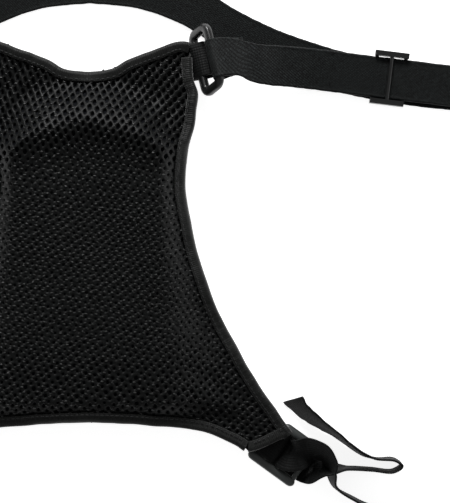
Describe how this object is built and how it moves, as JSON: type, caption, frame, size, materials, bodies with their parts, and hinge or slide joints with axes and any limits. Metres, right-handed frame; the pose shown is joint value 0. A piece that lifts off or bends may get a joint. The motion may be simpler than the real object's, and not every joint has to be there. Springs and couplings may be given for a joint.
{
  "type": "avalanche transceiver in carrying harness",
  "caption": "Spacer-mesh back panel with pouch, elastic shoulder strap and buckled waist webbing, carrying an electronic avalanche transceiver.",
  "frame": {"origin": "centre of the pouch's front face, on the surface that the harness lies on", "axes": "+Z from the pouch towards the wearer's body, +Y towards the neck edge, +X to the side of the ladder lock"},
  "size_m": [0.4916, 0.402, 0.042],
  "materials": {
    "mesh": "black polyester spacer mesh",
    "fabric": "black coated nylon pack cloth",
    "tape": "black-olive grosgrain binding",
    "webbing": "black flat webbing",
    "elastic": "black twill elastic",
    "plastic": "moulded black acetal, satin",
    "zip": "moulded black zip",
    "case": "dark grey moulded case",
    "shell": "orange moulded case",
    "seal": "soft black seal",
    "board": "green solder mask",
    "glass": "clear display window",
    "lcd": "grey-green display",
    "ferrite": "sintered ferrite",
    "copper": "enamelled copper winding",
    "steel": "plated steel",
    "cell": "battery can",
    "knob": "light grey moulded plastic"
  },
  "bodies": {
    "harness": {"back_panel": "mesh", "backing_fabric": "fabric", "binding_top": "tape", "binding_bottom": "tape", "binding_right": "tape", "binding_left": "tape", "pouch_front": "fabric", "pouch_gusset": "fabric", "zip_tape_upper": "fabric", "zip_tape_lower": "fabric", "zip_teeth": "zip", "upper_right_tab": "webbing", "upper_left_tab": "webbing", "lower_right_tab": "webbing", "shoulder_strap": "elastic", "waist_webbing_right": "webbing", "waist_webbing_left": "webbing", "waist_buckle_socket": "plastic", "rear_case": "case", "front_case": "shell", "case_seal": "seal", "case_screw_1": "steel", "case_screw_2": "steel", "case_screw_3": "steel", "case_screw_4": "steel", "circuit_board": "board", "display": "lcd", "display_window": "glass", "antenna_x_ferrite": "ferrite", "antenna_x_coil": "copper", "antenna_y_ferrite": "ferrite", "antenna_y_coil": "copper", "antenna_z_ferrite": "ferrite", "antenna_z_coil": "copper", "loudspeaker": "case", "cell_1": "cell", "cell_2": "cell", "cell_3": "cell", "contact_plate_left": "steel", "contact_plate_right": "steel", "battery_door": "case"},
    "upper_right_ring": {"upper_right_ring": "plastic"},
    "upper_left_ring": {"upper_left_ring": "plastic"},
    "ladder_lock": {"lower_right_ladder_lock": "plastic"},
    "strap_adjuster": {"strap_slider": "plastic"},
    "buckle_plug": {"waist_buckle_plug": "plastic"},
    "zip_runner": {"zip_slider": "zip"},
    "zip_tab": {"zip_pull": "zip"},
    "left_button": {"button_left": "knob"},
    "right_button": {"button_right": "knob"},
    "switch": {"mode_switch": "knob"},
    "latch": {"door_latch": "case"}
  },
  "joints": [
    {"name": "upper_right_ring_swing", "type": "hinge", "parent": "harness", "child": "upper_right_ring", "pos_m": [0.0686, 0.1263, 0.0136], "axis": [-0.2381, 0.9332, -0.2691], "range_deg": [-55, 30], "deforming": ["shoulder_strap"]},
    {"name": "upper_left_ring_swing", "type": "hinge", "parent": "harness", "child": "upper_left_ring", "pos_m": [-0.0686, 0.1263, 0.0136], "axis": [-0.2381, -0.9332, 0.2691], "range_deg": [-55, 30], "deforming": ["shoulder_strap"]},
    {"name": "ladder_lock_swing", "type": "hinge", "parent": "harness", "child": "ladder_lock", "pos_m": [0.1154, -0.1089, 0.008], "axis": [0.5879, 0.8089, 0], "range_deg": [-20, 4], "deforming": ["waist_webbing_right"]},
    {"name": "strap_adjuster_slide", "type": "slide", "parent": "harness", "child": "strap_adjuster", "axis": [0.9925, -0.122, 0], "range_m": [-0.012, 0.012], "deforming": ["shoulder_strap"]},
    {"name": "buckle_release", "type": "slide", "parent": "harness", "child": "buckle_plug", "axis": [1, 0, 0], "range_m": [0, 0.034], "deforming": ["waist_webbing_right", "waist_buckle_plug"]},
    {"name": "zip_open", "type": "slide", "parent": "harness", "child": "zip_runner", "axis": [0, -1, 0], "range_m": [0, 0.1]},
    {"name": "zip_tab_swing", "type": "hinge", "parent": "zip_runner", "child": "zip_tab", "pos_m": [0.0526, 0.048, 0.014], "axis": [0, -1, 0], "range_deg": [0, 90]},
    {"name": "left_button_press", "type": "slide", "parent": "harness", "child": "left_button", "axis": [0, 0, -1], "range_m": [0, 0.0012], "stiffness_N_per_m": 900},
    {"name": "right_button_press", "type": "slide", "parent": "harness", "child": "right_button", "axis": [0, 0, -1], "range_m": [0, 0.0012], "stiffness_N_per_m": 900},
    {"name": "mode_switch_slide", "type": "slide", "parent": "harness", "child": "switch", "axis": [1, 0, 0], "range_m": [-0.006, 0.006]},
    {"name": "door_latch_turn", "type": "hinge", "parent": "harness", "child": "latch", "pos_m": [0, -0.0196, 0.004], "axis": [0, 0, 1], "range_deg": [0, 90]}
  ]
}
